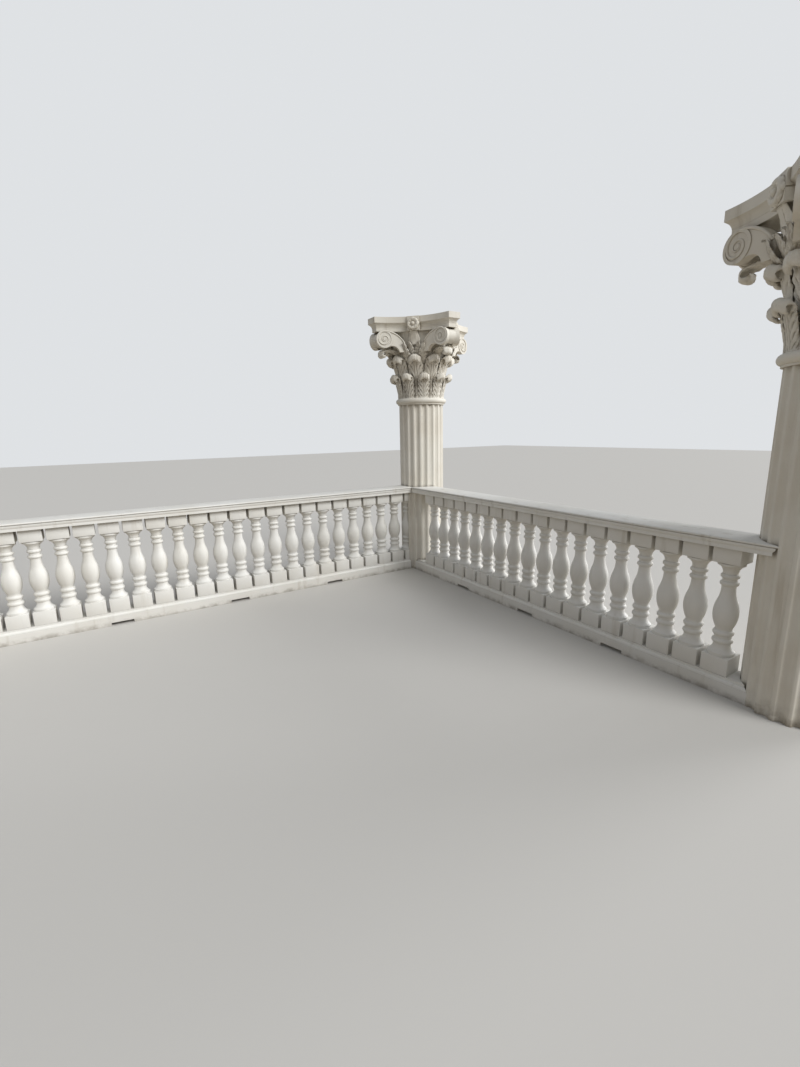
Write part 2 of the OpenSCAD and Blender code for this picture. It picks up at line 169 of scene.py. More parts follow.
class Nodes:
    """A material's nodes, made and linked by name."""

    def __init__(self, name):
        self.material = bpy.data.materials.new(name)
        self.material.use_nodes = True
        self.tree = self.material.node_tree
        self.shader = self.tree.nodes["Principled BSDF"]
        self.place = self.tree.nodes.new("ShaderNodeTexCoord").outputs["Object"]

    def link(self, out, into):
        self.tree.links.new(out, into)

    def seen(self):
        """1 where the camera looks straight at the surface, 0 where light bounces off it."""
        return self.tree.nodes.new("ShaderNodeLightPath").outputs["Is Camera Ray"]

    def noise(self, scale, detail=4.0, rough=0.55, stretch=None):
        node = self.tree.nodes.new("ShaderNodeTexNoise")
        node.inputs["Scale"].default_value = scale
        node.inputs["Detail"].default_value = detail
        node.inputs["Roughness"].default_value = rough
        place = self.place
        if stretch:
            mapping = self.tree.nodes.new("ShaderNodeMapping")
            mapping.inputs["Scale"].default_value = stretch
            self.link(place, mapping.inputs["Vector"])
            place = mapping.outputs["Vector"]
        self.link(place, node.inputs["Vector"])
        return node.outputs["Fac"]

    def steps(self, value, low, high, to_low=0.0, to_high=1.0):
        node = self.tree.nodes.new("ShaderNodeMapRange")
        node.interpolation_type = "SMOOTHSTEP"
        self.link(value, node.inputs["Value"])
        node.inputs["From Min"].default_value = low
        node.inputs["From Max"].default_value = high
        node.inputs["To Min"].default_value = to_low
        node.inputs["To Max"].default_value = to_high
        return node.outputs["Result"]

    def times(self, a, b):
        node = self.tree.nodes.new("ShaderNodeMath")
        node.operation = "MULTIPLY"
        for value, socket in ((a, node.inputs[0]), (b, node.inputs[1])):
            if isinstance(value, float):
                socket.default_value = value
            else:
                self.link(value, socket)
        return node.outputs["Value"]

    def height(self):
        node = self.tree.nodes.new("ShaderNodeSeparateXYZ")
        self.link(self.place, node.inputs["Vector"])
        return node.outputs["Z"]

    def hollows(self, distance):
        """1 in open places, falling towards 0 in corners and carved hollows."""
        node = self.tree.nodes.new("ShaderNodeAmbientOcclusion")
        node.samples = 6
        node.inputs["Distance"].default_value = distance
        return node.outputs["AO"]

    def mix(self, factor, a, b):
        node = self.tree.nodes.new("ShaderNodeMix")
        node.data_type = "RGBA"
        self.link(factor, node.inputs["Factor"])
        for value, socket in ((a, node.inputs[6]), (b, node.inputs[7])):
            if isinstance(value, tuple):
                socket.default_value = (*value, 1)
            else:
                self.link(value, socket)
        return node.outputs[2]

    def bump(self, value, strength, distance, normal=None):
        node = self.tree.nodes.new("ShaderNodeBump")
        node.inputs["Strength"].default_value = strength
        node.inputs["Distance"].default_value = distance
        self.link(value, node.inputs["Height"])
        if normal:
            self.link(normal, node.inputs["Normal"])
        return node.outputs["Normal"]


def painted_stone(name, paint, warm, grime_and_shade, rough, foot_dirt, crevice, reach=0.035, unshaded_from=0.85):
    """Matt paint on cast stone: cloudy patches, rain streaks, specks, dirt at the foot, and painted shade
    that darkens hollows and corners.

    foot_dirt is the height of the dirt at the foot, crevice the strength of the painted shade in hollows,
    reach the size of a hollow in metres, and clean how open a place is where that painted shade ends."""
    n = Nodes(name)
    cloud = n.steps(n.noise(2.3, detail=3.0), low=0.38, high=0.66)
    colour = n.mix(n.times(cloud, 0.75), paint, warm)
    streak = n.steps(n.noise(16.0, detail=3.0, rough=0.6, stretch=(1.0, 1.0, 0.09)), low=0.56, high=0.76)
    colour = n.mix(n.times(streak, 0.35), colour, grime_and_shade)
    # Painted shade: hollows, corners and carved grooves found by ambient occlusion are darkened towards a
    # deeper tone of the dirt colour
    hollow = n.steps(n.hollows(reach), low=0.35, high=unshaded_from, to_low=1.0, to_high=0.0)
    colour = n.mix(n.times(hollow, crevice), colour, tuple(c * 0.7 for c in grime_and_shade))
    speck = n.steps(n.noise(95.0, detail=5.0, rough=0.7), low=0.62, high=0.74)
    colour = n.mix(n.times(speck, 0.28), colour, grime_and_shade)
    near_foot = n.steps(n.height(), low=0.0, high=foot_dirt, to_low=1.0, to_high=0.0)
    splash = n.steps(n.noise(13.0, detail=5.0, rough=0.65), low=0.35, high=0.7)
    colour = n.mix(n.times(n.times(near_foot, splash), 0.75), colour, tuple(c * 0.55 for c in grime_and_shade))
    n.link(colour, n.shader.inputs["Base Color"])
    sheen = n.steps(n.noise(7.0, detail=4.0), low=0.3, high=0.7, to_low=rough - 0.07, to_high=rough + 0.1)
    n.link(sheen, n.shader.inputs["Roughness"])
    brushed = n.bump(n.noise(11.0, detail=3.0), strength=0.25, distance=0.004)
    grain = n.bump(n.noise(420.0, detail=6.0, rough=0.7), strength=0.16, distance=0.0012, normal=brushed)
    n.link(grain, n.shader.inputs["Normal"])
    return n.material


# Curves that the carving follows

def smooth_path(points, steps):
    """Points evenly spaced on a smooth curve through the given points."""
    ends = [Vector(p) for p in points]
    ends = [2 * ends[0] - ends[1]] + ends + [2 * ends[-1] - ends[-2]]
    dense = []
    between = 24
    for i in range(1, len(ends) - 2):
        a, b, c, d = ends[i - 1:i + 3]
        for k in range(between):
            t = k / between
            dense.append(0.5 * (2 * b + (c - a) * t + (2 * a - 5 * b + 4 * c - d) * t ** 2
                                + (3 * b - a - 3 * c + d) * t ** 3))
    dense.append(ends[-2])
    along = [0.0]
    for p, q in zip(dense, dense[1:]):
        along.append(along[-1] + (q - p).length)
    out, k = [], 0
    for i in range(steps + 1):
        want = along[-1] * i / steps
        while k < len(along) - 2 and along[k + 1] < want:
            k += 1
        t = (want - along[k]) / (along[k + 1] - along[k])
        out.append(dense[k].lerp(dense[k + 1], t))
    return out


def curve_at(table, x):
    """Smooth value between the (x, y) pairs of a table."""
    for (x0, y0), (x1, y1) in zip(table, table[1:]):
        if x <= x1:
            t = max(0.0, (x - x0) / (x1 - x0))
            t = t * t * (3 - 2 * t)
            return y0 + (y1 - y0) * t
    return table[-1][1]


def ease(x, low, high):
    """0 up to low, 1 from high, and a smooth step between."""
    t = min(1.0, max(0.0, (x - low) / (high - low)))
    return t * t * (3 - 2 * t)


def groove(phase, sharp):
    """1 in the middle of a groove, at each half phase, and 0 between grooves."""
    return ((1 - math.cos(2 * math.pi * phase)) / 2) ** sharp


def arc_through(rise, sag):
    """Radius of the arc that departs from a line by a sag over a rise."""
    return (rise * rise + sag * sag) / (2 * sag)


# Meshes and pieces

def take_in(bm, mesh):
    """Add a mesh to a bmesh, and remove it."""
    bm.from_mesh(mesh)
    bpy.data.meshes.remove(mesh)


def copies(bm, turns, mirrored=()):
    """A bmesh with a copy of one shape at each turn about the column's axis, and mirrored ones at others."""
    whole = bmesh.new()
    one = bpy.data.meshes.new("one")
    bm.to_mesh(one)
    bm.free()
    for turn in turns:
        part = one.copy()
        part.transform(Matrix.Rotation(math.radians(turn), 4, "Z"))
        take_in(whole, part)
    for turn in mirrored:
        part = one.copy()
        part.transform(Matrix.Rotation(math.radians(turn), 4, "Z") @ Matrix.Diagonal((1, -1, 1, 1)))
        part.flip_normals()
        take_in(whole, part)
    bpy.data.meshes.remove(one)
    return whole


def to_mesh(bm, name, crease=180):
    """A smooth mesh with sharp edges where faces meet at more than an angle in degrees."""
    for face in bm.faces:
        face.smooth = True
    for edge in bm.edges:
        edge.smooth = edge.calc_face_angle(0.0) < math.radians(crease)
    mesh = bpy.data.meshes.new(name)
    bm.to_mesh(mesh)
    bm.free()
    return mesh


def loft(bm, rings):
    """A closed shape that is extruded from one ring of points to the next."""
    foot = bm.faces.new([bm.verts.new(p) for p in rings[0]])
    end = foot
    for ring in rings[1:]:
        grown = bmesh.ops.extrude_face_region(bm, geom=[end])["geom"]
        if end is not foot:
            bmesh.ops.delete(bm, geom=[end], context="FACES_ONLY")
        end = next(g for g in grown if isinstance(g, bmesh.types.BMFace))
        for vert, p in zip(end.verts, ring):
            vert.co = p


def turn_on_lathe(bm, line, axis, steps):
    """Spin a line of vertices a full turn about an axis through the origin."""
    edges = [bm.edges.new(pair) for pair in zip(line, line[1:])]
    bmesh.ops.spin(bm, geom=line + edges, cent=(0, 0, 0), axis=axis, angle=2 * math.pi, steps=steps,
                   use_merge=True)
    bmesh.ops.remove_doubles(bm, verts=bm.verts, dist=1e-6)


def close_ends(bm):
    """Fill the holes that a lathe leaves at its axis."""
    bmesh.ops.holes_fill(bm, edges=[edge for edge in bm.edges if edge.is_boundary], sides=0)


def piece_from(mesh, name, places, material, nodes):
    """A piece with a copy of the mesh at each place, which rides on the root and stands for CAD nodes."""
    whole = bmesh.new()
    for x, y in places:
        part = mesh.copy()
        part.transform(Matrix.Translation((x, y, 0)))
        take_in(whole, part)
    data = bpy.data.meshes.new(name)
    whole.to_mesh(data)
    whole.free()
    data.materials.append(material)
    piece = bpy.data.objects.new(name, data)
    bpy.context.scene.collection.objects.link(piece)
    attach(piece, "root")
    if nodes:
        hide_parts(*nodes)


# Acanthus leaves: a grid that follows a side path, wraps round the column, and is cut into lobes and
# veins. The path ends in a curl, which is tighter towards the leaf's edges and so makes a round hood.
# Places on a leaf are shares of its length from the foot, v, and of its half width from the midrib, s.

BLADE_SHARE = 0.72
CURL_TAPER = 0.90
CURL_WIND = 0.3
HOOD_STARTS = 0.6
HOOD_FULL = 0.76
SAG_STARTS = 0.42
SAG_FULL = 0.8
SAG_INWARD = 0.3
CARVING_STARTS = 0.05
LOBES = 6.5
SWEEP = 2.1
NOTCH_STARTS = 0.3
NOTCH_FULL = 0.7
FLUTES = 3.0
FLUTES_END = 0.20
VEINS_FULL = 0.45
MINOR = 0.3
HOOD_CALM = 0.55
EYE_AT = 0.62
EYE_SIZE = 0.09
EYE_DEPTH = 1.2
CUP = 0.14


class Spine:
    """A leaf's side path, in steps: a blade and then a curl."""

    def __init__(self, blade, curl_r, curl_turn, steps):
        self.steps = steps
        self.rise = round(steps * BLADE_SHARE)
        self.line = smooth_path(blade, self.rise)
        self.curl_r = curl_r
        self.curl_turn = math.radians(curl_turn)
        self.ahead = (self.line[-1] - self.line[-2]).normalized()
        self.out = Vector((self.ahead.y, -self.ahead.x))

    def at(self, i, s):
        """Place and direction at one step of the path, for a share of the leaf's half width."""
        if i <= self.rise:
            ahead = (self.line[min(i + 1, self.rise)] - self.line[max(i - 1, 0)]).normalized()
            return self.line[i], ahead
        t = (i - self.rise) / (self.steps - self.rise)
        a = self.curl_turn * t
        r = self.curl_r * math.sqrt(1 - CURL_TAPER * s ** 2)
        inner_r = r * (1 - CURL_WIND * t * t)
        to_place = self.ahead * math.sin(a) - self.out * math.cos(a)
        ahead = self.out * math.sin(a) + self.ahead * math.cos(a)
        return self.line[-1] + r * self.out + inner_r * to_place, ahead


def notched(full, v, hood, cut):
    """A leaf's width, drawn in at the notches between its lobes, where it is wide enough for them."""
    edge = LOBES * v - SWEEP
    notch = groove(edge, 1) + MINOR * groove(3 * edge, 1)
    return full * (1 - cut * (1 - hood) * ease(full, NOTCH_STARTS, NOTCH_FULL) * notch)


def carved(s, v, hood):
    """Share of the carving's depth: flutes by the midrib, veins that sweep up to the lobes, and eyes."""
    phase = LOBES * v - SWEEP * s
    side = ease(s, FLUTES_END, VEINS_FULL)
    veins = groove(phase, 2) + MINOR * groove(3 * phase, 1.5)
    lines = (1 - side) * groove(FLUTES * s, 2) + side * veins
    eye = math.exp(-((s - EYE_AT) / EYE_SIZE) ** 2) * groove(LOBES * v - EYE_AT * SWEEP, 3)
    return lines * (1 - HOOD_CALM * hood) + EYE_DEPTH * eye * (1 - hood)


def leaf(blade, outline, half, curl_r, curl_turn, thick, depth, fall=0.0, cut=0.16, lean=0.0, across=30,
         steps=48):
    """One leaf as a closed shell that wraps round the column's axis on its +X side.

    blade has the side path up to the curl, as radius and height over the bell's foot, and outline the width
    along the leaf as a share of half. depth is the carving's depth, cut the notches' depth as a share of
    the width, fall the droop of the hood's sides, and lean the tip's shift to one side."""
    spine = Spine(blade, curl_r, curl_turn, steps)
    bm = bmesh.new()
    bmesh.ops.create_grid(bm, x_segments=across, y_segments=steps, size=1.0)
    for vert in bm.verts:
        u, v = vert.co.x, (vert.co.y + 1) / 2
        s = abs(u)
        at, ahead = spine.at(round(v * steps), s)
        out = Vector((ahead.y, -ahead.x))
        hood = ease(v, HOOD_STARTS, HOOD_FULL)
        width = half * notched(curve_at(outline, v), v, hood, cut)
        sunk = depth * min(1.0, v / CARVING_STARTS) * carved(s, v, hood) + CUP * half * s ** 2.4
        sag = fall * s ** 2 * ease(v, SAG_STARTS, SAG_FULL)
        at = at - out * sunk - Vector((SAG_INWARD * sag, sag))
        turn = (width * u + lean * v ** 1.5) / at.x
        vert.co = (at.x * math.cos(turn), at.x * math.sin(turn), BELL_Z + at.y)
    bmesh.ops.solidify(bm, geom=bm.faces[:], thickness=thick)
    bmesh.ops.recalc_face_normals(bm, faces=bm.faces)
    if bm.calc_volume(signed=True) < 0:
        bmesh.ops.reverse_faces(bm, faces=bm.faces)
    return bm


# The capital's leaves, in metres, with their curls in degrees. An inner leaf and a sheath stand at a turn
# to each side of a flower.
INNER_TURN = 7.5
SHEATH_TURN = 14.5
LOWER_LEAF = {
    "blade": [(0.240, 0.0), (0.242, 0.045), (0.250, 0.09), (0.262, 0.14), (0.272, 0.18), (0.279, 0.214)],
    "outline": [(0, 0.90), (0.25, 0.94), (0.5, 1.0), (0.64, 0.98), (0.74, 0.90), (0.9, 0.82), (1, 0.60)],
    "half": 0.062, "curl_r": 0.025, "curl_turn": 275, "thick": 0.012, "depth": 0.0105, "fall": 0.026,
}
UPPER_LEAF = {
    "blade": [(0.239, 0.0), (0.242, 0.1), (0.249, 0.18), (0.262, 0.25), (0.278, 0.31), (0.289, 0.355),
              (0.296, 0.382)],
    "outline": [(0, 0.24), (0.33, 0.26), (0.45, 0.92), (0.56, 1.0), (0.66, 0.92), (0.75, 0.82), (0.9, 0.76),
                (1, 0.55)],
    "half": 0.081, "curl_r": 0.029, "curl_turn": 275, "thick": 0.012, "depth": 0.0105, "fall": 0.030,
}
POINTED = [(0, 0.65), (0.2, 0.95), (0.34, 1.0), (0.50, 0.80), (0.64, 0.48), (0.76, 0.20), (1, 0.03)]
INNER_LEAF = {
    "blade": [(0.266, 0.38), (0.292, 0.42), (0.312, 0.46), (0.326, 0.490), (0.336, 0.508)],
    "outline": POINTED,
    "half": 0.047, "curl_r": 0.020, "curl_turn": 60, "thick": 0.008, "depth": 0.0060, "cut": 0.30,
    "across": 14, "steps": 30,
}
SHEATH_LEAF = {
    "blade": [(0.256, 0.33), (0.300, 0.385), (0.336, 0.435), (0.354, 0.475), (0.362, 0.505)],
    "outline": POINTED,
    "half": 0.047, "curl_r": 0.020, "curl_turn": 60, "thick": 0.009, "depth": 0.0060, "cut": 0.30,
    "lean": 0.012, "across": 14, "steps": 30,
}
CORNER_LEAF = {
    "blade": [(0.256, 0.415), (0.31, 0.437), (0.38, 0.452), (0.43, 0.456), (0.458, 0.455)],
    "outline": [(0, 0.8), (0.3, 0.95), (0.55, 1.0), (0.75, 0.96), (0.9, 0.88), (1, 0.62)],
    "half": 0.056, "curl_r": 0.034, "curl_turn": 275, "thick": 0.012, "depth": 0.0070, "fall": 0.020,
    "across": 18, "steps": 36,
}
CALYX = {
    "blade": [(0.316, 0.498), (0.322, 0.535), (0.336, 0.580), (0.351, 0.612)],
    "outline": [(0, 0.66), (0.14, 0.96), (0.26, 1.0), (0.6, 0.70), (1, 0.56)],
    "half": 0.058, "curl_r": 0.004, "curl_turn": 60, "thick": 0.008, "depth": 0.0030, "cut": 0.0,
    "across": 12, "steps": 14,
}


def leaf_rings():
    """The lower, upper and inner leaves of one capital, about the origin's axis."""
    step = 360 / LEAVES
    lower = copies(leaf(**LOWER_LEAF), [LOWER_TURN + i * step for i in range(LEAVES)])
    upper = copies(leaf(**UPPER_LEAF), [LOWER_TURN + (i + 0.5) * step for i in range(LEAVES)])
    inner = copies(leaf(**INNER_LEAF), [q + s * INNER_TURN for q in SIDES for s in (-1, 1)])
    sheaths = copies(leaf(**SHEATH_LEAF), turns=[q + SHEATH_TURN for q in SIDES],
                     mirrored=[q - SHEATH_TURN for q in SIDES])
    corners = copies(leaf(**CORNER_LEAF), CORNERS)
    calyxes = copies(leaf(**CALYX), SIDES)
    for extra in (sheaths, corners, calyxes):
        take_in(inner, to_mesh(extra, "extra"))
    return to_mesh(lower, "lower"), to_mesh(upper, "upper"), to_mesh(inner, "inner")


# Scrolls: a raised rib that runs out along the stalk's upper edge and winds into the eye

def tube(points, name):
    """A round bar through points of x, y, z and radius, with closed ends."""
    data = bpy.data.curves.new(name, "CURVE")
    data.dimensions = "3D"
    data.bevel_depth = 1.0
    data.bevel_resolution = 2
    data.use_fill_caps = True
    spline = data.splines.new("POLY")
    spline.points.add(len(points) - 1)
    for place, point in zip(points, spline.points):
        point.co = (*place[:3], 1)
        point.radius = place[3]
    holder = bpy.data.objects.new(name, data)
    mesh = bpy.data.meshes.new_from_object(holder)
    bpy.data.objects.remove(holder)
    bpy.data.curves.remove(data)
    return mesh


def rib_line():
    """Points of the rib on one scroll's face, with its radius at each, and the eye at the origin."""
    rib_r = 0.0075
    inset = 0.007
    arc = arc_through(SCROLL_STALK, SCROLL_FALL)
    top_length = SCROLL_STALK * 0.9
    top_steps = 25
    top = []
    for k in range(top_steps):
        x = -top_length * (1 - k / top_steps)
        z = SCROLL_R - arc + math.sqrt(arc ** 2 - x ** 2) - inset
        top.append((x, 0.0, z, rib_r))
    turns = 2.3
    inner_share = 0.13
    thinned = 0.55
    spiral_steps = 96
    spiral = []
    for k in range(spiral_steps + 1):
        t = k / spiral_steps
        a = math.pi / 2 - 2 * math.pi * turns * t
        r = (SCROLL_R - inset) * inner_share ** t
        spiral.append((r * math.cos(a), 0.0, r * math.sin(a), rib_r * (1 - thinned * t)))
    return top + spiral


def carve_scrolls():
    """The ribs of the eight scrolls of one capital, about the origin's axis."""
    rib = tube(rib_line(), "rib")
    whole = bmesh.new()
    place = (Matrix.Translation((SCROLL_EYE, SCROLL_SIDE, SCROLL_Z))
             @ Matrix.Rotation(math.radians(-SCROLL_TURN), 4, "Z"))
    for mirror in (1, -1):
        for turn in CORNERS:
            part = rib.copy()
            part.transform(Matrix.Rotation(math.radians(turn), 4, "Z")
                           @ Matrix.Diagonal((1, mirror, 1, 1)) @ place)
            if mirror < 0:
                part.flip_normals()
            take_in(whole, part)
    bpy.data.meshes.remove(rib)
    return to_mesh(whole, "ribs")


# Flowers: a turned rosette whose rim dips and draws in between its petals

PETALS = 8
PETAL_DIP = 0.010
PETAL_GAP = 0.10
PETALS_PART = 0.020
PETALS_APART = 0.050
FLOWER_PROFILE = [(0.0, 0.030), (0.007, 0.029), (0.013, 0.024), (0.017, 0.016), (0.022, 0.013),
                  (0.029, 0.019), (0.039, 0.022), (0.049, 0.019), (0.058, 0.010), (0.060, 0.0)]


def carve_flowers():
    """The four flowers of one capital, about the origin's axis."""
    bm = bmesh.new()
    line = smooth_path([(r, h, 0) for r, h in FLOWER_PROFILE], steps=26)
    turn_on_lathe(bm, [bm.verts.new((p.y, p.x, 0)) for p in line], axis=(1, 0, 0), steps=64)
    for vert in bm.verts:
        r = math.hypot(vert.co.y, vert.co.z)
        if r < 1e-6:
            continue
        angle = math.atan2(vert.co.z, vert.co.y)
        petal = abs(math.cos(PETALS * angle / 2)) ** 0.6
        drawn = ease(r, PETALS_PART, PETALS_APART) * (1 - petal)
        vert.co.x -= PETAL_DIP * drawn
        vert.co.y *= 1 - PETAL_GAP * drawn
        vert.co.z *= 1 - PETAL_GAP * drawn
    close_ends(bm)
    bmesh.ops.recalc_face_normals(bm, faces=bm.faces)
    bmesh.ops.translate(bm, verts=bm.verts, vec=(BOSS_X, 0, FLOWER_Z))
    return to_mesh(copies(bm, SIDES), "flowers")


# Shafts

def carve_shaft():
    """A fluted shaft with softened edges between its flutes, about the origin's axis."""
    hollow_at = COLUMN_R - FLUTE_DEPTH + FLUTE_R
    meet = math.acos((hollow_at ** 2 + FLUTE_R ** 2 - COLUMN_R ** 2) / (2 * hollow_at * FLUTE_R))
    half_flute = math.asin(FLUTE_R * math.sin(meet) / COLUMN_R)
    soft_turn = math.radians(5)
    soft_edge = 0.0028
    land_edge = half_flute + soft_edge / COLUMN_R
    pitch = 2 * math.pi / SHAFT_FLUTES
    half_steps = 6
    land_steps = 3
    one = []
    for k in range(-half_steps, half_steps + 1):
        b = (meet - soft_turn) * k / half_steps
        one.append(Vector((hollow_at - FLUTE_R * math.cos(b), FLUTE_R * math.sin(b), 0)))
    for k in range(land_steps + 1):
        b = land_edge + (pitch - 2 * land_edge) * k / land_steps
        one.append(Vector((COLUMN_R * math.cos(b), COLUMN_R * math.sin(b), 0)))
    foot = []
    for i in range(SHAFT_FLUTES):
        turn = Matrix.Rotation((i + 0.5) * pitch, 3, "Z")
        foot += [turn @ p for p in one]
    bm = bmesh.new()
    loft(bm, [foot, [p + Vector((0, 0, SHAFT_H)) for p in foot]])
    bmesh.ops.recalc_face_normals(bm, faces=bm.faces)
    return to_mesh(bm, "shaft", crease=50)


# Abacus: four hollow sides and four cut corners, moulded underneath, with a boss for each flower

SOFT_EDGE = 0.0015
SOFT_LEDGE = 0.0012
BOSS_HALF = 0.060
BOSS_ROOT = 0.08
QUIRK_Z = 0.050
QUIRK_H = 0.007
QUIRK_DEPTH = 0.004


def abacus_ring(inset, z):
    """The abacus's outline at one level, set in by a distance: an arc for each side, joined at the cuts."""
    side_x = (ABACUS_R + ABACUS_CUT / 2) / math.sqrt(2)
    side_y = (ABACUS_R - ABACUS_CUT / 2) / math.sqrt(2)
    side_arc = arc_through(side_y, side_x - ABACUS_MID)
    centre = (ABACUS_MID + side_arc) / math.sqrt(2)
    r = side_arc + inset
    start = math.acos((ABACUS_R - inset - centre) / r)
    sweep = 1.5 * math.pi - 2 * start
    steps = 24
    ring = []
    for turn in CORNERS:
        place = Matrix.Rotation(math.radians(turn), 3, "Z")
        for k in range(steps + 1):
            a = -start - sweep * k / steps
            ring.append(place @ Vector((centre + r * math.cos(a), centre + r * math.sin(a), z)))
    return ring


def boss_ring(inset, z):
    """A boss's outline at one level, set in by a distance, from inside the abacus to its front."""
    half = BOSS_HALF - inset
    front = BOSS_X - inset
    back = ABACUS_MID - BOSS_ROOT
    return [Vector(p) for p in ((back, -half, z), (front, -half, z), (front, half, z), (back, half, z))]


def abacus_levels():
    """Inset and height of the abacus's moulding: a fascia, a hollow and an upright edge."""
    fascia_h = ABACUS_H * 0.27
    hollow_x = EDGE_ARC - EDGE_DEPTH + EDGE_LEDGE
    hollow_z = fascia_h - 2 * EDGE_LEDGE
    start = math.asin((fascia_h - hollow_z) / EDGE_ARC)
    end = math.acos(hollow_x / EDGE_ARC)
    fascia_in = EDGE_ARC * math.cos(start) - hollow_x + SOFT_LEDGE
    levels = [(fascia_in + SOFT_EDGE, 0), (fascia_in, SOFT_EDGE), (fascia_in, fascia_h)]
    steps = 8
    for k in range(steps + 1):
        a = start + (end - start) * k / steps
        levels.append((EDGE_ARC * math.cos(a) - hollow_x, hollow_z + EDGE_ARC * math.sin(a)))
    return levels + [(0, ABACUS_H - SOFT_EDGE), (SOFT_EDGE, ABACUS_H)]


def boss_levels():
    """Inset and height of a boss with a quirk round it, a little lower than the abacus, so that no face
    of one lies in a face of the other."""
    lower = 0.0008
    top = ABACUS_H - lower
    quirk_top = QUIRK_Z + QUIRK_H
    return [(SOFT_EDGE, -lower), (0, SOFT_EDGE), (0, QUIRK_Z), (QUIRK_DEPTH, QUIRK_Z + SOFT_EDGE),
            (QUIRK_DEPTH, quirk_top - SOFT_EDGE), (0, quirk_top), (0, top - SOFT_EDGE), (SOFT_EDGE, top)]


def carve_abacus():
    """The abacus of one capital, about the origin's axis."""
    foot = BELL_Z + BELL_H
    bm = bmesh.new()
    loft(bm, [abacus_ring(inset, foot + z) for inset, z in abacus_levels()])
    boss = bmesh.new()
    loft(boss, [boss_ring(inset, foot + z) for inset, z in boss_levels()])
    take_in(bm, to_mesh(copies(boss, SIDES), "bosses"))
    bmesh.ops.recalc_face_normals(bm, faces=bm.faces)
    return to_mesh(bm, "abacus", crease=30)


# Balusters: a turned part from the same beads, hollows and arcs as in part.scad, between softened blocks

class Turning:
    """A turned outline: the largest radius of its bars, beads and hollows at each height."""

    def __init__(self):
        self.parts = []
        self.levels = set()

    def bar(self, radius, low, high):
        self.parts.append((low, high, lambda z: radius))
        edge = 0.0003
        self.levels |= {low, low + edge, high - edge, high}

    def bead(self, middle_r, middle_z, radius, low, high):
        def at(z):
            return middle_r + math.sqrt(max(0, radius ** 2 - (z - middle_z) ** 2))

        self.parts.append((low, high, at))
        self.arc_levels(middle_z, radius, low, high)

    def hollow(self, middle_r, middle_z, radius, limit, low, high):
        def at(z):
            return min(limit, middle_r - math.sqrt(max(0, radius ** 2 - (z - middle_z) ** 2)))

        self.parts.append((low, high, at))
        self.arc_levels(middle_z, radius, low, high)

    def core(self, radius, low, high):
        """A radius that the outline doesn't go under, and which adds no level."""
        self.parts.append((low, high, lambda z: radius))

    def arc_levels(self, middle_z, radius, low, high):
        """Levels at even steps of the arc, close enough for its length."""
        start = math.asin(max(-1, (low - middle_z) / radius))
        end = math.asin(min(1, (high - middle_z) / radius))
        facet = 0.007
        steps = max(6, round((end - start) * radius / facet))
        for k in range(steps + 1):
            z = middle_z + radius * math.sin(start + (end - start) * k / steps)
            self.levels.add(min(high, max(low, z)))

    def radius_at(self, z):
        slack = 1e-9
        return max(at(z) for low, high, at in self.parts if low - slack <= z <= high + slack)

    def outline(self):
        """Radius and height pairs, without levels that nearly meet."""
        nearest = 0.00025
        points = []
        for z in sorted(self.levels):
            if points and z - points[-1][1] < nearest:
                continue
            points.append((self.radius_at(z), z))
        return points


def turned_outline():
    """Radius and height pairs of the part between the blocks, up from the foot block's top."""
    tall = BALUSTER_H - HEAD_H - FOOT_H
    t = Turning()
    flange_h = 0.011
    t.bar(FLANGE_R, 0, flange_h)
    foot_hollow, foot_neck, foot_neck_z = 0.046, 0.043, 0.057
    t.hollow(foot_neck + foot_hollow, foot_neck_z, foot_hollow, FLANGE_R, flange_h, foot_neck_z)
    belly_low = 0.085
    ring, waist_r, waist_z = 0.017, 0.042, BELLY_RISE - belly_low
    ring_falls = (0.075, 0.029)
    for down in ring_falls:
        z = waist_z - down
        t.bead(LOWER_RING_R - ring, z, ring, z - ring, z + ring)
    t.core(waist_r, 0, waist_z)
    lower_arc = arc_through(BELLY_RISE - waist_z, BELLY_R - waist_r)
    t.bead(BELLY_R - lower_arc, BELLY_RISE, lower_arc, waist_z, BELLY_RISE)
    cap_part = 0.145
    neck_z = tall - cap_part
    rise = neck_z - BELLY_RISE
    arcs = arc_through(rise, BELLY_R - NECK_R)
    upper_arc = arcs * 0.47
    hollow_arc = arcs - upper_arc
    meet_z = BELLY_RISE + rise * upper_arc / arcs
    t.bead(BELLY_R - upper_arc, BELLY_RISE, upper_arc, BELLY_RISE, meet_z)
    t.hollow(NECK_R + hollow_arc, neck_z, hollow_arc, BELLY_R, meet_z, neck_z)
    ring = 0.014
    ring_rises = (0.026, 0.067)
    for up in ring_rises:
        z = neck_z + up
        t.bead(UPPER_RING_R - ring, z, ring, z - ring, z + ring)
    t.core(NECK_R, 0, tall)
    cap_hollow, cap_neck, quirk, quirk_in = 0.048, 0.037, 0.004, 0.005
    cap_z = tall - quirk - flange_h - cap_hollow * 0.92
    t.hollow(cap_neck + cap_hollow, cap_z, cap_hollow, FLANGE_R, cap_z, tall - quirk - flange_h)
    t.bar(FLANGE_R, tall - quirk - flange_h, tall - quirk)
    t.bar(FLANGE_R - quirk_in, tall - quirk, tall)
    return t.outline()


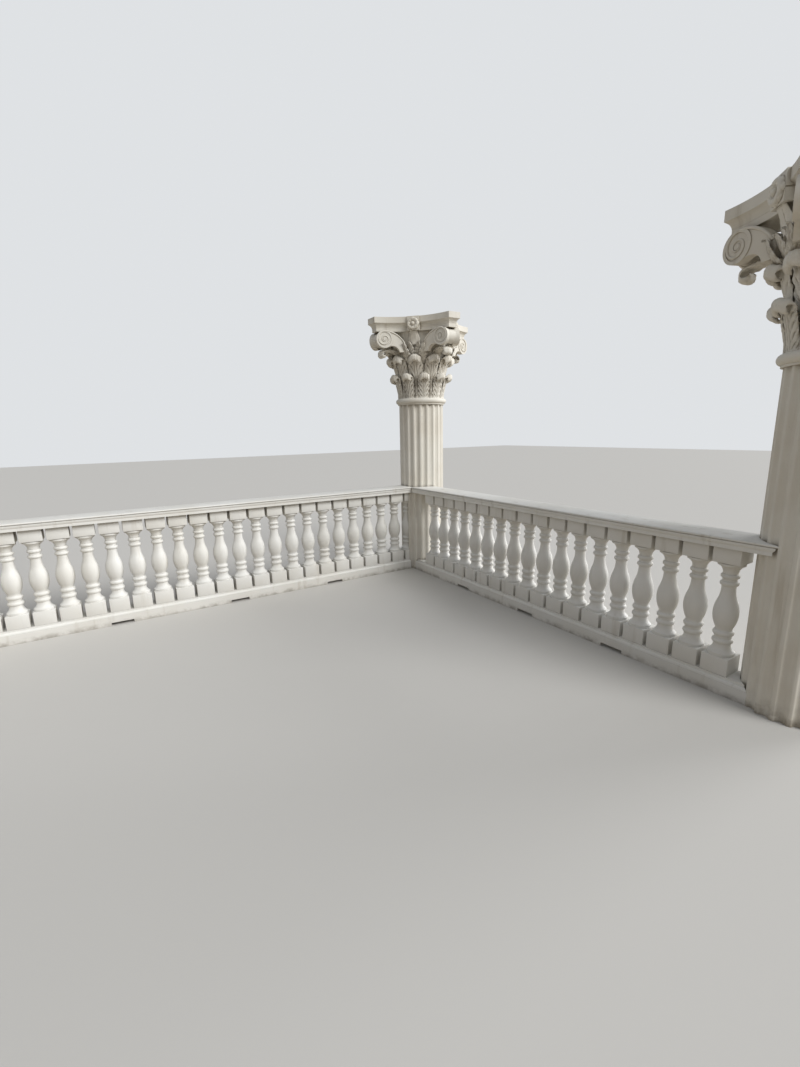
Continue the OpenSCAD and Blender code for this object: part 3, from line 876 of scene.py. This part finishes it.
def carve_baluster():
    """One baluster, about the origin's axis."""
    soft_edge = 0.0022
    bm = bmesh.new()
    line = [bm.verts.new((r, 0, BASE_H + FOOT_H + z)) for r, z in turned_outline()]
    turn_on_lathe(bm, line, axis=(0, 0, 1), steps=28)
    close_ends(bm)
    for low, tall in ((BASE_H, FOOT_H), (BASE_H + BALUSTER_H - HEAD_H, HEAD_H)):
        size = Matrix.Diagonal((BLOCK_SIDE, BLOCK_SIDE, tall, 1))
        block = Matrix.Translation((0, 0, low + tall / 2)) @ size
        cube = bmesh.ops.create_cube(bm, size=1, matrix=block)["verts"]
        edges = list({edge for vert in cube for edge in vert.link_edges})
        bmesh.ops.bevel(bm, geom=edges, offset=soft_edge, segments=2, profile=0.5, affect="EDGES",
                        material=-1)
    bmesh.ops.recalc_face_normals(bm, faces=bm.faces)
    return to_mesh(bm, "baluster", crease=40)


def baluster_groups():
    """Names of the CAD's baluster nodes with the places of their balusters."""
    left = [(-LEFT_FIRST - i * PITCH, 0.0) for i in range(LEFT_COUNT)]
    right = [(-RIGHT_INSET, -RIGHT_FIRST - i * PITCH) for i in range(RIGHT_COUNT)]
    for side, places in (("left", left), ("right", right)):
        for k in range(0, len(places), GROUP):
            yield f"{side}_balusters_{k // GROUP + 1}", places[k:k + GROUP]


def dress_columns(plain, carved_paint):
    """The carved pieces of the columns. The ribs and rosettes lie over their nodes and replace none."""
    lower, upper, inner = leaf_rings()
    pieces = [
        (lower, "lower_acanthus", carved_paint, "lower_leaves"),
        (upper, "upper_acanthus", carved_paint, "upper_leaves"),
        (inner, "inner_acanthus", carved_paint, "inner_leaves"),
        (carve_shaft(), "fluted_shaft", plain, "shaft"),
        (carve_abacus(), "moulded_abacus", plain, "abacus"),
        (carve_scrolls(), "scroll_ribs", plain, None),
        (carve_flowers(), "rosettes", carved_paint, None),
    ]
    for side, at in COLUMNS.items():
        for mesh, name, paint, node in pieces:
            nodes = [f"{side}_{node}"] if node else []
            piece_from(mesh, f"{side}_{name}", [at], paint, nodes)
    for mesh, name, paint, node in pieces:
        bpy.data.meshes.remove(mesh)


def dress_runs(paint):
    """The turned balusters of both runs."""
    baluster = carve_baluster()
    for name, places in baluster_groups():
        piece_from(baluster, f"{name}_turned", places, paint, [name])
    bpy.data.meshes.remove(baluster)


make_camera()
make_stage()
sun_light("day", toward=(-0.23, 0.76, -0.60), angle=35, strength=2.1, colour=(1.0, 0.99, 0.96))
sun_light("garden", toward=(-0.94, 0.20, -0.28), angle=25, strength=1.6, colour=(1.0, 1.0, 1.0))

# All three paints darken their hollows with painted shade, the leaves' most of all. The columns' and leaves'
# cream tint is the rails' white paint warmed as painted bounce light from the porch.
rail_paint = painted_stone(
    "rail paint", paint=(0.84, 0.84, 0.82), warm=(0.79, 0.78, 0.74), grime_and_shade=(0.50, 0.46, 0.39), rough=0.55,
    foot_dirt=0.05, crevice=0.50)
column_paint = painted_stone(
    "column paint", paint=(0.81, 0.79, 0.73), warm=(0.73, 0.69, 0.61), grime_and_shade=(0.42, 0.36, 0.27), rough=0.6,
    foot_dirt=0.12, crevice=0.8)
leaf_paint = painted_stone(
    "leaf paint", paint=(0.85, 0.83, 0.77), warm=(0.77, 0.73, 0.65), grime_and_shade=(0.38, 0.32, 0.23), rough=0.6,
    foot_dirt=0.12, crevice=0.95, reach=0.024, unshaded_from=0.95)

# Paint for the CAD's own nodes
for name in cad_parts:
    paint = rail_paint if "rail" in name or "baluster" in name else column_paint
    for slot in bpy.data.objects[name].material_slots:
        slot.material = paint

dress_columns(column_paint, leaf_paint)
dress_runs(rail_paint)
